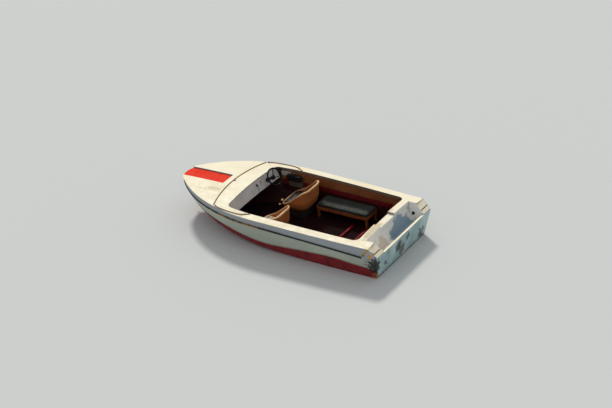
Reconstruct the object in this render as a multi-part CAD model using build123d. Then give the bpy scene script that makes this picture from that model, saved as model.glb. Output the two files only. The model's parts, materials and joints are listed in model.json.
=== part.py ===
"""A small open outboard runabout, moored afloat with no motor fitted.

x runs forward from the top edge of the transom, y to port and z up from the waterline.
Everything is in mm. The finished pieces are moved so that the origin is amidships.
"""
from build123d import *
import math
import os

os.makedirs("parts", exist_ok=True)

# Overall size
LENGTH = 4400                  # of the layout; the bow ends a little short of it
HALF_BEAM = 942
MIDSHIP = LENGTH / 2
FAR = 6000                     # reach of the cutting blocks, past everything
WIDE = 1.3 * HALF_BEAM         # off the centreline, past the sides
DEEP = -900                    # under the keel
HIGH = 1500                    # over the deck

# Hull and deck mouldings
HULL_WALL = 8
DECK_WALL = 6
FIT = 0.3                      # clearance between a piece and what carries it
TRANSOM_RAKE = 12.4            # degrees, top aft
TRANSOM_TOP = 455
TRANSOM_BOARD = 25
CLAMP_PAD = 6
TRANSOM_CAP = 8
NOSE_TURNS = (22, 45, 90)      # heading, in degrees, at the end of each arc of the bow
GUNWALE_WIDTH = 150
LIP_HEIGHT = 50
DECK_CROWN = 45
QUARTER_FOOT = (300, 405)      # where the deck's flange ends aft, x and z
QUARTER_HEAD = (154, 596)
QUARTER_SLIT = (58, 70)
QUARTER_BLOCK = 42
RUB_WAIST = (1700, 497)
RUB_BOW_HEIGHT = 545
RUB_STRIP = (16, 13)           # how far it stands proud, and half its height
END_TRIM = (7, 13)
KEEL_STRIP = (12, 22)
KEEL_STRIP_END = 4000
STRAKE = (14, 16)
STRAKES = [(300, 3100), (560, 2700)]   # off the centreline and forward end

# Foredeck
STRIPE_HALF = 155
STRIPE_AFT = 3460
STRIPE_DROP = 25
STRIPE_THICK = 2
SCREEN_END = 3150
SCREEN_MIDDLE = 3337
SCREEN_TRIM = (14, 5)          # width and height
SOCKETS = [(3321, 0), (3170, 810), (3170, -810)]   # x and y of the windscreen's posts
SOCKET = (15, 14)              # radius and height
SEAM_AT = 2552                 # at the cockpit's edge
SEAM_SKEW = 0.317              # how far forward it runs for each mm outwards
SEAM = (10, 3, 5)              # width, height, and in from the deck's edges

# Eyes, plug and clamp pads
BOW_EYE = (190, 18)            # back from the layout's end, and down from the stem
BOW_EYE_RADII = (26, 10)
STERN_EYE = (560, 205, 18)     # off the centreline, height, and proud of the transom
STERN_EYE_RADII = (25, 9)
EYE_THICK = 12
EYE_PLATE = (22, 34, 4)        # half width, half height and thickness
PLUG_HEIGHT = -70
PLUG = (19, 10)                # radius and thickness
PLUG_GRIP = (26, 7, 8)
OUTER_PAD = (125, 20)          # half width, and height of the foot
INNER_PAD = (110, 4, 6)        # half width, and gaps over the well's floor and under the cap

# Cockpit, dash and splash well
COCKPIT_AFT = 430
COCKPIT_CORNER = 105
DASH_EDGE = 2960
DASH_BULGE = 45
DASH_FOOT = 455
DASH_RISE = 185
DASH_LEAN = 66
DASH_GAP = 4
DASH_THICK = 12
WELL_FORE = 315
WELL_TOP = (690, 600)          # half width of the well and height, at the deck
WELL_CORNER = 640              # half width at the transom's top edge
WELL_FLOOR = 320
WELL_SLOPE = 95
COAMING_DIP_HALF = 225
COAMING_DIP = 40
CABLE_PORT = (196, 448)
CABLE_RADIUS = 17
GLAND = (10, 10)               # width of the flange, and thickness
FLOOR_TOP = 62
FLOOR_THICK = 15
FORE_BULKHEAD = 3560
PANEL = 9
LINING = 6
LINING_SPLIT = 345
LINING_TOP = 590
LINING_AFT = 540
LINING_FACE = GUNWALE_WIDTH - DECK_WALL - 2 * FIT
LINING_FORE = DASH_EDGE - DASH_LEAN - 12
CATCH = (26, (-285, -235), (562, 612))   # thickness, and limits across and up

# Steering
WHEEL_CENTRE = (2770, -400, 675)
WHEEL_RADIUS = 163
RIM_RADIUS = 14
HUB = (40, 26, 45)             # radius, thickness, and depth behind the rim
HUB_CAP = (32, 22, 14, 27)     # radii, thickness, and depth behind the rim
SPOKES = (71, 161, 341)        # degrees from starboard, turning upward
SPOKE = (30, 17, 8)            # width at the hub and at the rim, and thickness
SPOKE_START = (20, -41)        # off the axis, and behind the rim
SHAFT_RADIUS = 11
SHAFT_LENGTH = 95
COLUMN_TILT = 33               # degrees of the shaft above level
COLUMN_TURN = 10               # degrees that it points inward
COLUMN_RADIUS = 24
COLUMN_GAP = 8
COLUMN_RUN = 300
BEZEL = (34, 6)                # radius and thickness
BEZEL_DROP = 129               # under the wheel's centre
DASH_FITTINGS = [              # node, place across and up, radius, and how far it stands proud
    ("dash_switch", -150, 585, 17, 22),
    ("dash_lock", -270, 588, 10, 12),
]

# Throttle control on the starboard lining
CONTROL_RUN = (2470, 2750)
CONTROL_FACE = -770
CONTROL_BOX = (58, 452, 560)   # thickness, and lower and upper limits
CONTROL_CORNER = 24
CONTROL_FOOT = 320
LEVER_PIVOT = (2610, 512)
LEVER_BOSS = (24, 16)
LEVER_ARM = (18, 9, 104)
LEVER_LEAN = 18
LEVER_KNOB = 15

# Seats and bench
SEAT_BACK = 2030
SEAT_DEPTH = 570
SEAT_WIDTH = 600
SEAT_MIDDLE = 462              # off the centreline
SEAT_TOP = 590
SEAT_BOTTOM = 200
SEAT_WALL = 16
SEAT_GAP = 5
SEAT_BEAD = (12, 4)            # height, and past each face of the wall
SEAT_CORNERS = (170, 110)      # corner radii, aft and forward
CORNER_EASE = (0.8, 0.4)       # less radius for each mm of inset and of taper
# Side view of the tub's edge: distance ahead of its back, and height
SEAT_EDGE = [
    (-200, 590), (50, 588), (100, 560), (160, 514), (240, 450),
    (335, 374), (410, 335), (480, 304), (570, 284), (770, 270),
]
# How the tub narrows: height, and inset
SEAT_TAPER = [(200, 95), (262, 50), (370, 18), (700, 0)]
SEAT_PAD = 120
SEAT_BACK_PAD = 62
PLINTH_INSET = 110
PLINTH_CORNER = 40
BENCH_AFT = 975
BENCH_LENGTH = 1020
BENCH_INNER = 418
BENCH_WIDTH = 354
BENCH_TOP = 325
BENCH_PAD = 62
BENCH_APRON = 46
BENCH_LEG = 38
BENCH_CORNER = 45
BENCH_MARGIN = 3
BACKREST = (75, 250, 430, 560)   # thickness, height, half width and top
BACKREST_CORNERS = (4, 30)
RAILS = [(945, 985), (1228, 1268)]
RAIL_HEIGHT = 34
RAIL_REACH = (-380, 690)

# Levels of the topsides: height, then less than the half-beam at the stern and at the widest,
# where that is, less than the length at the bow, and radius of the nose
LEVELS = [
    (-320, 207, 197, 1700, 640, 120),
    (0, 174, 162, 1900, 320, 150),
    (500, 80, 12, 2400, 80, 300),
    (760, 70, 0, 2400, 38, 330),
]
# Bottom sections at even steps from one step aft of the transom: height of the keel and rise
# for each mm of half-beam
BOTTOM_STEP = 0.16 * LENGTH
BOTTOM = [
    (-158, 0.200), (-160, 0.200), (-163, 0.210), (-166, 0.230), (-168, 0.268),
    (-160, 0.355), (-50, 0.540), (292, 0.700), (720, 0.710),
]
# Height of the deck's edge at even steps from the transom
DECK_STEP = 0.37 * LENGTH
DECK = [592, 616, 641, 605]
SIDES = [("port", 1), ("starboard", -1)]

PARTS = {}


def print_places():
    """Places that a buyer's drawing would give."""
    print("bow eye", LENGTH - BOW_EYE[0] - MIDSHIP, stem_height(LENGTH - BOW_EYE[0]) - BOW_EYE[1])
    port = CABLE_WAY.origin + CABLE_WAY.z_dir * ((GLAND[1] - DECK_WALL) / 2)
    print("cable port", port.X - MIDSHIP, port.Y, port.Z, CABLE_WAY.z_dir.Y, CABLE_WAY.z_dir.Z)


def keep(name, solid):
    """Remember a finished piece under its node's name."""
    PARTS[name] = solid


def bow_radii(reach, half, nose):
    """Radii of the bow's first two arcs, so that three tangent arcs end on the centreline."""
    s1, s2 = (math.sin(math.radians(a)) for a in NOSE_TURNS[:2])
    c1, c2 = (math.cos(math.radians(a)) for a in NOSE_TURNS[:2])
    along = reach - nose * (1 - s2)
    across = half - nose * c2
    det = s1 * (c1 - c2) - (s2 - s1) * (1 - c1)
    first = (along * (c1 - c2) - (s2 - s1) * across) / det
    second = (s1 * across - (1 - c1) * along) / det
    return first, second


def arc_chain(x, y, heading, legs, z, side):
    """Tangent arcs that turn towards the centreline. Each leg is a radius and an end heading."""
    edges = []
    for radius, end in legs:
        cx = x + radius * math.sin(math.radians(heading))
        cy = y - radius * math.cos(math.radians(heading))
        spots = []
        for angle in (heading, (heading + end) / 2, end):
            a = math.radians(angle)
            spots.append(Vector(cx - radius * math.sin(a), side * (cy + radius * math.cos(a)), z))
        edges.append(ThreePointArc(*spots))
        x, y, heading = spots[2].X, side * spots[2].Y, end
    return edges


def outline(level, inset):
    """Closed plan outline of the topsides at one level, moved inwards by an inset."""
    z, less_stern, less_widest, widest_at, less_bow, nose = level
    aft = -DECK_STEP / 5
    stern = HALF_BEAM - less_stern - inset
    widest = HALF_BEAM - less_widest - inset
    run = widest_at - aft
    swell = widest - stern
    radius = (run * run + swell * swell) / (2 * swell)
    first, second = bow_radii(LENGTH - less_bow - inset - widest_at, widest, nose)
    heading = math.degrees(math.asin(run / radius))
    legs = list(zip((radius, first, second, nose), (0,) + tuple(-a for a in NOSE_TURNS)))
    port = arc_chain(aft, stern, heading, legs, z, 1)
    starboard = arc_chain(aft, stern, heading, legs, z, -1)
    transom = Line((aft, -stern, z), (aft, stern, z))
    return Wire([transom] + port + starboard[::-1])


def topsides(inset):
    """Block inside the topsides, from under the keel to over the deck."""
    return Solid.make_loft([outline(level, inset) for level in LEVELS], ruled=True)


def bottom_block(inset):
    """Block above the vee bottom."""
    sections = []
    for step, (keel, rise) in enumerate(BOTTOM):
        x = (step - 1) * BOTTOM_STEP
        low = keel + inset * math.hypot(1, rise)
        chine = low + WIDE * rise
        corners = [(0, low), (WIDE, chine), (WIDE, 2 * HIGH), (-WIDE, 2 * HIGH), (-WIDE, chine)]
        sections.append(Wire.make_polygon([(x, y, z) for y, z in corners], close=True))
    return Solid.make_loft(sections)


def side_cut(points):
    """Prism that runs right across the boat, from corners given as x and z."""
    face = Face(Wire.make_polygon([(x, -FAR, z) for x, z in points], close=True))
    return Solid.extrude(face, Vector(0, 2 * FAR, 0))


def plan_cut(wire, low, high):
    """Upright prism on a plan outline."""
    return Solid.extrude(Face(wire), Vector(0, 0, high - low)).moved(Location((0, 0, low)))


def box(x, y, z):
    """Block between pairs of limits."""
    size = [b - a for a, b in (x, y, z)]
    middle = [(a + b) / 2 for a, b in (x, y, z)]
    return Pos(*middle) * Box(*size)


def centred(x, reach):
    """Upright block over the centreline, between two places along the boat."""
    return box(x, (-reach, reach), (DEEP, HIGH))


def half(side):
    """Everything on one side of the centreline."""
    return box((-FAR, FAR), sorted((0, side * FAR)), (DEEP, 2 * HIGH))


def between(aft, fore):
    """Everything between two places along the boat."""
    return box((aft, fore), (-FAR, FAR), (DEEP, 2 * HIGH))


def layer(low, high):
    """Everything between two heights."""
    return box((-FAR, FAR), (-FAR, FAR), (low, high))


RAKE = math.tan(math.radians(TRANSOM_RAKE))


def transom_x(z, inset=0):
    """Where the transom's outer face lies at a height, or a face moved forward of it."""
    return (TRANSOM_TOP - z) * RAKE + inset / math.cos(math.radians(TRANSOM_RAKE))


def ahead_of_transom(inset):
    """Everything ahead of the transom's raked face."""
    return side_cut([
        (transom_x(DEEP, inset), DEEP), (transom_x(HIGH, inset), HIGH), (FAR, HIGH), (FAR, DEEP),
    ])


def hull_block(inset):
    """The hull's whole form, filled."""
    return topsides(inset) & bottom_block(inset) & ahead_of_transom(inset)


def deck_block(drop=0):
    """Everything under the crowned deck, lowered by a drop."""
    sections = []
    for step, edge in enumerate(DECK):
        x = (step - 0.2) * DECK_STEP
        z = edge - drop
        side = z - 3 * DECK_CROWN
        top = ThreePointArc((x, HALF_BEAM, z), (x, 0, z + DECK_CROWN), (x, -HALF_BEAM, z))
        rest = Polyline((x, -HALF_BEAM, z), (x, -WIDE, side), (x, -WIDE, DEEP),
                        (x, WIDE, DEEP), (x, WIDE, side), (x, HALF_BEAM, z))
        sections.append(Wire([top] + rest.edges()))
    return Solid.make_loft(sections)


def under_rub(raise_by=0):
    """Everything under the rub line, ahead of the quarter's foot."""
    foot, waist, tip = ((x, -FAR, z + raise_by) for x, z in
                        (QUARTER_FOOT, RUB_WAIST, (LENGTH + 200, RUB_BOW_HEIGHT)))
    rest = Polyline(tip, (tip[0], -FAR, DEEP), (foot[0], -FAR, DEEP), foot)
    face = Face(Wire([ThreePointArc(foot, waist, tip)] + rest.edges()))
    return Solid.extrude(face, Vector(0, 2 * FAR, 0))


def sheer_prism(inset):
    """Upright prism inside the deck's plan outline."""
    return plan_cut(outline((0,) + LEVELS[-1][1:], inset), DEEP, HIGH)


def slanted_band(half_width):
    """Band along the slanted aft end of the deck's flange."""
    (fx, fz), (hx, hz) = QUARTER_FOOT, QUARTER_HEAD
    run = math.hypot(hx - fx, hz - fz)
    nx, nz = (hz - fz) / run * half_width, (fx - hx) / run * half_width
    return side_cut([(fx - nx, fz - nz), (fx + nx, fz + nz), (hx + nx, hz + nz), (hx - nx, hz - nz)])


WELL_LEAN = (WELL_TOP[0] - WELL_CORNER) / (WELL_TOP[1] - TRANSOM_TOP)


def trough(inset):
    """Everything between the well's leaning ends, from one end of the boat to the other."""
    shift = inset * math.hypot(1, WELL_LEAN)
    high = WELL_TOP[0] - shift
    low = high - WELL_LEAN * (WELL_TOP[1] - DEEP)
    port = [(high, HIGH), (high, WELL_TOP[1]), (low, DEEP)]
    corners = port + [(-y, z) for y, z in reversed(port)]
    face = Face(Wire.make_polygon([(-FAR, y, z) for y, z in corners], close=True))
    return Solid.extrude(face, Vector(2 * FAR, 0, 0))


# The cable port's axis, out of the well's starboard end. It starts on the end's inner face
CABLE_WAY = Plane(
    origin=(CABLE_PORT[0], WELL_LEAN * (WELL_TOP[1] - CABLE_PORT[1]) - WELL_TOP[0]
            + (FIT + DECK_WALL) * math.hypot(1, WELL_LEAN), CABLE_PORT[1]),
    z_dir=(0, 1, WELL_LEAN),
)
WALL_TOP = TRANSOM_TOP - TRANSOM_CAP - FIT
CAP_DEPTH = HULL_WALL + 2 * FIT + TRANSOM_BOARD + DECK_WALL
QUARTER = side_cut([
    (-DECK_STEP, DEEP), (QUARTER_FOOT[0], DEEP), QUARTER_FOOT, QUARTER_HEAD,
    (transom_x(WALL_TOP), WALL_TOP), (-DECK_STEP, WALL_TOP),
])
# Everything ahead of the slanted end of the deck's flange
AHEAD_OF_QUARTER = side_cut([
    (QUARTER_FOOT[0], DEEP), QUARTER_FOOT, QUARTER_HEAD,
    (QUARTER_HEAD[0], HIGH), (FAR, HIGH), (FAR, DEEP),
])
BELOW_JOINT = under_rub() + QUARTER

OUTER = hull_block(0)
INNER = hull_block(HULL_WALL)
LINED = hull_block(HULL_WALL + FIT)
DECK_TOP = deck_block()
UNDER_DECK = deck_block(DECK_WALL + FIT)


# Mouldings

def hull_shell():
    """Hull moulding: sides, vee bottom and raked transom in one skin."""
    over_transom = box((-FAR, QUARTER_SLIT[0]), (-WELL_CORNER, WELL_CORNER), (WALL_TOP, HIGH))
    return (OUTER & BELOW_JOINT) - INNER - over_transom


def dash_curve(x, z, wide):
    """Arc across the boat that bulges forward."""
    return ThreePointArc((x, wide, z), (x + DASH_BULGE, 0, z), (x, -wide, z))


def cockpit(grow=0):
    """The cockpit's opening as an upright block with rounded corners and a bulged forward edge."""
    aft, fore = COCKPIT_AFT - grow, DASH_EDGE + grow
    wide = HALF_BEAM
    rest = Polyline((fore, -wide, 0), (aft, -wide, 0), (aft, wide, 0), (fore, wide, 0))
    limits = plan_cut(Wire([dash_curve(fore, 0, wide)] + rest.edges()), DEEP, HIGH)
    block = (sheer_prism(GUNWALE_WIDTH - grow) & limits).solids()[0]
    uprights = [e for e in block.edges().filter_by(Axis.Z) if abs(e.center().Y) > HALF_BEAM / 2]
    sharp = [e for e in uprights if e.center().X < aft + 1 or e.center().X > fore - 5]
    return block.fillet(COCKPIT_CORNER + grow, sharp)


def lowered(region, drop, outside):
    """Deck skin that is sunk inside a region, with the step's own walls round it."""
    floor = (region & deck_block(drop)) - deck_block(drop + DECK_WALL)
    walls = ((outside - region) & DECK_TOP) - deck_block(drop + DECK_WALL)
    return floor + walls


def deck_moulding():
    """Deck moulding: foredeck, side decks with their lip, and the coaming ahead of the well."""
    skin = ((OUTER & DECK_TOP) - under_rub()) & AHEAD_OF_QUARTER
    deck = skin - (hull_block(DECK_WALL) & deck_block(DECK_WALL))
    opening = cockpit()
    lip = ((cockpit(DECK_WALL) - opening) & deck_block(DECK_WALL / 2)) - deck_block(LIP_HEIGHT)
    deck += lip & between(COCKPIT_AFT - DECK_WALL, DASH_EDGE - COCKPIT_CORNER)
    deck -= opening
    stripe = centred((STRIPE_AFT, FAR), STRIPE_HALF)
    stripe_ring = centred((STRIPE_AFT - DECK_WALL, FAR), STRIPE_HALF + DECK_WALL)
    deck = (deck - stripe_ring) + (lowered(stripe, STRIPE_DROP, stripe_ring) & skin)
    dip = centred((WELL_FORE, COCKPIT_AFT), COAMING_DIP_HALF)
    dip_ring = centred((WELL_FORE, COCKPIT_AFT), COAMING_DIP_HALF + DECK_WALL)
    deck = (deck - (dip_ring - deck_block(LIP_HEIGHT))) + lowered(dip, COAMING_DIP, dip_ring)
    back = centred((COCKPIT_AFT - DECK_WALL, COCKPIT_AFT), COAMING_DIP_HALF)
    deck += (back & deck_block(COAMING_DIP + DECK_WALL / 2)) - deck_block(LIP_HEIGHT)
    return deck - centred((-FAR, WELL_FORE), WELL_TOP[0])


def stripe_panel():
    """The painted panel that lies in the foredeck's recess."""
    region = centred((STRIPE_AFT + FIT, FAR), STRIPE_HALF - FIT) & topsides(DECK_WALL / 2)
    return (region & deck_block(STRIPE_DROP - STRIPE_THICK)) - deck_block(STRIPE_DROP)


def well_block(inset, foot):
    """The splash well's form between the transom board and the coaming."""
    slope = WELL_FORE - inset
    behind = HULL_WALL + FIT + TRANSOM_BOARD + inset
    form = side_cut([
        (transom_x(foot, behind), foot), (transom_x(HIGH, behind), HIGH),
        (slope, HIGH), (slope, WELL_FLOOR + 2 * WELL_SLOPE), (slope - WELL_SLOPE, foot),
    ])
    return form & trough(inset)


def quarter_line(drop):
    """Everything under the quarter's slope, lowered by a drop."""
    rise = (QUARTER_HEAD[1] - TRANSOM_TOP) / QUARTER_HEAD[0]
    past = QUARTER_HEAD[0] + DECK_CROWN
    return side_cut([
        (-DECK_STEP, DEEP), (-DECK_STEP, TRANSOM_TOP - drop), (0, TRANSOM_TOP - drop),
        (QUARTER_HEAD[0], QUARTER_HEAD[1] - drop), (past, TRANSOM_TOP + rise * past - drop),
        (FAR, HIGH), (FAR, DEEP),
    ])


def splash_well():
    """Tray between the transom and the coaming, that a motor's leg splashes into."""
    tray = well_block(FIT, WELL_FLOOR) - well_block(FIT + DECK_WALL, WELL_FLOOR + DECK_WALL)
    tray -= layer(WALL_TOP, HIGH) - ahead_of_transom(CAP_DEPTH + FIT)
    tray -= centred((WELL_FORE - WELL_SLOPE, WELL_FORE), COAMING_DIP_HALF) - deck_block(COAMING_DIP)
    hole = CABLE_WAY * Cylinder(CABLE_RADIUS, 4 * DECK_WALL)
    return (tray & DECK_TOP & quarter_line(0)) - hole


def transom_board():
    """Wooden core that stiffens the transom behind its skin."""
    board = (LINED - ahead_of_transom(HULL_WALL + FIT + TRANSOM_BOARD)) & layer(DEEP, WALL_TOP)
    corners = layer(TRANSOM_TOP - QUARTER_BLOCK - FIT, HIGH) - centred((-FAR, FAR), WELL_CORNER)
    return board - corners


def transom_cap():
    """Moulded capping along the top of the transom."""
    strip = OUTER - ahead_of_transom(CAP_DEPTH)
    return strip & box((-FAR, FAR), (-WELL_CORNER, WELL_CORNER), (WALL_TOP + FIT, TRANSOM_TOP))


def quarter_cap(side):
    """Sloping cap of a stern quarter, with a slit ahead of its corner block."""
    slope = quarter_line(0) - quarter_line(DECK_WALL)
    block = (quarter_line(0) - quarter_line(QUARTER_BLOCK)) & between(-FAR, QUARTER_SLIT[0])
    cap = (slope & between(QUARTER_SLIT[1], QUARTER_HEAD[0] - FIT)) + block
    inner = topsides(HULL_WALL + FIT) & ahead_of_transom(HULL_WALL + FIT)
    return (cap & inner & half(side)) - trough(-FIT) - centred((-FAR, FAR), WELL_CORNER + FIT)


def rub_strip(side):
    """Rubber strip over the joint between hull and deck."""
    proud, tall = RUB_STRIP
    ring = topsides(-proud) - topsides(0)
    return ring & (under_rub(tall) - under_rub(-tall)) & half(side) & bottom_block(-proud)


def end_trim(side):
    """Bright trim down the slanted end of the deck's flange."""
    proud, wide = END_TRIM
    foot = QUARTER_FOOT[1] + RUB_STRIP[1] + wide
    return (topsides(-proud) - topsides(0)) & slanted_band(wide) & half(side) & layer(foot, HIGH)


def keel_strip():
    """Band along the keel and up the stem."""
    proud, wide = KEEL_STRIP
    band = centred((DEEP, KEEL_STRIP_END), wide)
    return (bottom_block(-proud) - bottom_block(0)) & band & ahead_of_transom(2 * proud)


def strakes():
    """Lifting strakes along the bottom, two on each side, with a level under face."""
    proud, wide = STRAKE
    runs = []
    for start, fore in STRAKES:
        end = start + 2 * wide
        for _, side in SIDES:
            sections = []
            for step, (keel, rise) in enumerate(BOTTOM):
                x = (step - 1) * BOTTOM_STEP
                near, far = keel + rise * start, keel + rise * end
                corners = [(start, near), (start, near + proud), (end, far + proud), (end, near - proud)]
                sections.append(Wire.make_polygon([(x, side * y, z) for y, z in corners], close=True))
            run = Solid.make_loft(sections) & ahead_of_transom(2 * proud) & between(0, fore)
            runs += (run - bottom_block(-FIT)).solids()
    return Compound(children=runs)


# Deck fittings

def screen_trim():
    """Curved strip across the deck where the windscreen stood."""
    wide, tall = SCREEN_TRIM
    spots = [(SCREEN_END, HALF_BEAM), (SCREEN_MIDDLE, 0), (SCREEN_END, -HALF_BEAM)]
    aft, fore = ([(x + shift, y, 0) for x, y in spots] for shift in (0, wide))
    ring = Wire([
        ThreePointArc(*aft), Line(aft[2], fore[2]), ThreePointArc(*fore[::-1]), Line(fore[0], aft[0]),
    ])
    inside = sheer_prism(GUNWALE_WIDTH / 5)
    return (plan_cut(ring, DEEP, HIGH) & inside & deck_block(-tall)) - DECK_TOP


def screen_sockets():
    """Three dark sockets that held the windscreen's posts."""
    radius, tall = SOCKET
    found = []
    for x, y in SOCKETS:
        post = plan_cut(Wire.make_circle(radius, Plane(origin=(x, y, 0))), DEEP, HIGH)
        found += ((post & deck_block(-tall)) - DECK_TOP - PARTS["windscreen_trim"]).solids()
    return Compound(children=found)


def deck_seams():
    """Cover strips over the joints across the side decks."""
    wide, tall, edge = SEAM
    found = []
    for _, side in SIDES:
        inner = HALF_BEAM - GUNWALE_WIDTH
        far = SEAM_AT + SEAM_SKEW * (WIDE - inner)
        corners = [(SEAM_AT, inner), (far, WIDE), (far + wide, WIDE), (SEAM_AT + wide, inner)]
        ring = Wire.make_polygon([(x, side * y, 0) for x, y in corners], close=True)
        strip = plan_cut(ring, DEEP, HIGH) & (sheer_prism(edge) - sheer_prism(GUNWALE_WIDTH - edge))
        found += ((strip & deck_block(-tall)) - DECK_TOP).solids()
    return Compound(children=found)


def stem_height(x):
    """Height of the stem at a place near the bow."""
    return (OUTER & between(x - 1, x + 1)).bounding_box().min.Z


def across(x, y, z, radius, length):
    """Rod across the boat."""
    return Pos(x, y, z) * Rot(90, 0, 0) * Cylinder(radius, length)


def bow_eye():
    """Towing eye on the stem."""
    x = LENGTH - BOW_EYE[0]
    z = stem_height(x) - BOW_EYE[1]
    outer, inner = BOW_EYE_RADII
    return across(x, 0, z, outer, EYE_THICK) - across(x, 0, z, inner, 2 * EYE_THICK) - OUTER


def stern_eye(side):
    """Lifting eye on the transom."""
    y, z, proud = side * STERN_EYE[0], STERN_EYE[1], STERN_EYE[2]
    x = transom_x(z, -proud)
    outer, inner = STERN_EYE_RADII
    wide, tall, thick = EYE_PLATE
    plate = ahead_of_transom(-thick) & box((-FAR, FAR), (y - wide, y + wide), (z - tall, z + tall))
    eye = across(x, y, z, outer, EYE_THICK) + (plate - ahead_of_transom(0))
    return eye - across(x, y, z, inner, 4 * wide) - ahead_of_transom(0)


def drain_plug():
    """Plug low in the transom."""
    rake = math.radians(TRANSOM_RAKE)
    place = (transom_x(PLUG_HEIGHT), 0, PLUG_HEIGHT)
    plane = Plane(origin=place, z_dir=(-math.cos(rake), 0, -math.sin(rake)))
    radius, thick = PLUG
    cap = plane * Pos(0, 0, thick / 2) * Cylinder(radius, thick)
    return cap + plane * Pos(0, 0, thick + PLUG_GRIP[2] / 2) * Box(*PLUG_GRIP)


def transom_pad(outer):
    """Clamp pad for a motor, on the transom's outer or inner face."""
    if outer:
        reach, foot = OUTER_PAD
        slab = ahead_of_transom(-CLAMP_PAD) - ahead_of_transom(0)
        return slab & box((-FAR, FAR), (-reach, reach), (foot, WALL_TOP))
    reach, over, under = INNER_PAD
    depth = CAP_DEPTH + FIT
    slab = ahead_of_transom(depth) - ahead_of_transom(depth + CLAMP_PAD)
    return slab & box((-FAR, FAR), (-reach, reach), (WELL_FLOOR + DECK_WALL + over, TRANSOM_TOP - under))


def well_gland():
    """Black grommet in the well's starboard end, for a motor's cables."""
    flange, thick = GLAND
    ring = CABLE_WAY * Pos(0, 0, thick / 2) * Cylinder(CABLE_RADIUS + flange, thick)
    return ring - CABLE_WAY * Cylinder(CABLE_RADIUS, 4 * thick)


# Dash and steering

def dash_slab(near, far):
    """Leaning curved slab under the deck's forward edge, between two depths."""
    wires = []
    for z, lean in ((DASH_FOOT, -DASH_LEAN), (DASH_FOOT + 2 * DASH_RISE, DASH_LEAN)):
        x = DASH_EDGE + lean
        front, back = dash_curve(x + near, z, HALF_BEAM), dash_curve(x + far, z, HALF_BEAM)
        ends = [Line((x + near, y, z), (x + far, y, z)) for y in (-HALF_BEAM, HALF_BEAM)]
        wires.append(Wire([front, ends[0], back, ends[1]]))
    return Solid.make_loft(wires, ruled=True)


def dash_panel():
    """Grey dash that leans back under the foredeck's edge."""
    inside = sheer_prism(GUNWALE_WIDTH) & LINED
    return dash_slab(DASH_GAP, DASH_GAP + DASH_THICK) & inside & UNDER_DECK


def on_dash(y, z, radius, proud, gap):
    """Disc that stands proud of the dash's face."""
    rod = Pos(DASH_EDGE, y, z) * Rot(0, 90, 0) * Cylinder(radius, 4 * DASH_LEAN)
    return rod & dash_slab(DASH_GAP - proud, DASH_GAP - gap)


AHEAD, INWARD = math.cos(math.radians(COLUMN_TURN)), math.sin(math.radians(COLUMN_TURN))
LEVEL, RISE = math.cos(math.radians(COLUMN_TILT)), math.sin(math.radians(COLUMN_TILT))
SHAFT = Plane(origin=WHEEL_CENTRE, x_dir=(-INWARD, -AHEAD, 0), z_dir=(-AHEAD * LEVEL, INWARD * LEVEL, RISE))
HUB_BACK = -HUB[2] - HUB[1] / 2


def steering_wheel():
    """Three-spoke wheel on its shaft."""
    reach = WHEEL_RADIUS - RIM_RADIUS
    cap_wide, cap_narrow, cap_thick, cap_depth = HUB_CAP
    start, depth = SPOKE_START
    at_hub, at_rim, thick = SPOKE
    wheel = Torus(reach, RIM_RADIUS) + Pos(0, 0, -HUB[2]) * Cylinder(HUB[0], HUB[1])
    wheel += Pos(0, 0, -cap_depth) * Cone(cap_wide, cap_narrow, cap_thick)
    for turn in SPOKES:
        spoke = Solid.make_loft([
            Wire.make_rect(at_hub, thick, Plane(origin=(start, 0, depth), z_dir=(1, 0, 0))),
            Wire.make_rect(at_rim, thick, Plane(origin=(reach, 0, 0), z_dir=(1, 0, 0)))], ruled=True)
        wheel += Rot(0, 0, turn) * spoke
    wheel += Pos(0, 0, HUB_BACK - SHAFT_LENGTH / 2) * Cylinder(SHAFT_RADIUS, SHAFT_LENGTH)
    return SHAFT * wheel


def steering_column():
    """Fixed tube and bezel that carry the shaft out of the dash."""
    front = HUB_BACK - COLUMN_GAP
    tube = Pos(0, 0, front - COLUMN_RUN / 2) * Cylinder(COLUMN_RADIUS, COLUMN_RUN)
    bore = Pos(0, 0, front - SHAFT_LENGTH / 2) * Cylinder(SHAFT_RADIUS + FIT, SHAFT_LENGTH + COLUMN_GAP)
    foot = SHAFT.origin - SHAFT.z_dir * (BEZEL_DROP / RISE)
    bezel = on_dash(foot.Y, foot.Z, *BEZEL, FIT)
    return (SHAFT * tube + bezel) - SHAFT * bore - dash_slab(DASH_GAP - FIT, FAR)


def control_box():
    """Throttle and shift box on the starboard lining."""
    thick, low, high = CONTROL_BOX
    shape = box(CONTROL_RUN, (CONTROL_FACE, CONTROL_FACE + thick), (low, high))
    return fillet(shape.edges().filter_by(Axis.Y), CONTROL_CORNER)


def control_lever():
    """Throttle lever, standing on the control box."""
    radius, thick = LEVER_BOSS
    x, z = LEVER_PIVOT
    y = CONTROL_FACE + CONTROL_BOX[0] + FIT + thick / 2
    arm = Pos(0, 0, LEVER_ARM[2] / 2) * Box(*LEVER_ARM) + Pos(0, 0, LEVER_ARM[2]) * Sphere(LEVER_KNOB)
    boss = across(x, y, z, radius, thick)
    return boss + Pos(x, y, z) * Rot(0, -LEVER_LEAN, 0) * arm


def control_bracket():
    """Fairing that stands the control box off the lining."""
    upright = (CONTROL_FOOT, CONTROL_BOX[2] - CONTROL_CORNER)
    block = box(CONTROL_RUN, (-HALF_BEAM, CONTROL_FACE - FIT), upright)
    return block & sheer_prism(LINING_FACE + FIT)


# Cockpit linings and floor

def lining(side, low, high):
    """Trimmed board between the deck's lip and the hull."""
    board = sheer_prism(LINING_FACE - LINING) - sheer_prism(LINING_FACE)
    return board & LINED & UNDER_DECK & half(side) & layer(low, high) & between(LINING_AFT, LINING_FORE)


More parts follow.
